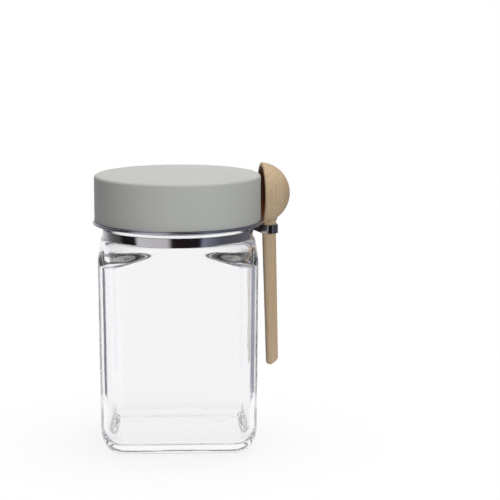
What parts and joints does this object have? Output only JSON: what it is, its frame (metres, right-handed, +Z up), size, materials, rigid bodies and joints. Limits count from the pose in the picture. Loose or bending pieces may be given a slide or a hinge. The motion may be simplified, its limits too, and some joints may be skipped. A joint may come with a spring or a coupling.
{
  "type": "glass jar",
  "caption": "Square clear glass storage jar with a round painted metal screw lid, and a wooden spoon hung in a steel loop on its neck band.",
  "frame": {"origin": "middle of the flat underside of the glass, on the surface that the jar stands on", "axes": "+Z up along the axis of the neck and the lid, front face towards -Y, spoon on the +X side"},
  "size_m": [0.1192, 0.102, 0.1676],
  "materials": {
    "clear_glass": "clear, pressed",
    "polished_steel": "polished",
    "lid_paint": "satin stone grey",
    "insert_plastic": "matt",
    "seal_silicone": "matt",
    "spoon_wood": "bare, sanded"
  },
  "bodies": {
    "jar": {"glass_jar": "clear_glass", "neck_band": "polished_steel", "spoon_loop": "polished_steel"},
    "seal": {"lid_seal": "seal_silicone"},
    "lid": {"lid_shell": "lid_paint", "lid_insert": "insert_plastic"},
    "spoon": {"spoon": "spoon_wood"}
  },
  "joints": [
    {"name": "lid_rise", "type": "slide", "parent": "jar", "child": "seal", "axis": [0, 0, 1], "range_m": [0, 0.032]},
    {"name": "lid_turn", "type": "hinge", "parent": "seal", "child": "lid", "pos_m": [0, 0, 0.1475], "axis": [0, 0, 1], "range_deg": [0, 720]},
    {"name": "spoon_lift", "type": "slide", "parent": "jar", "child": "spoon", "axis": [-0.0174, -0.0017, 0.9998], "range_m": [0, 0.09]}
  ],
  "couplings": [
    {"joint": "lid_rise", "follows": "lid_turn", "m_per_rad": 0.0025465}
  ]
}
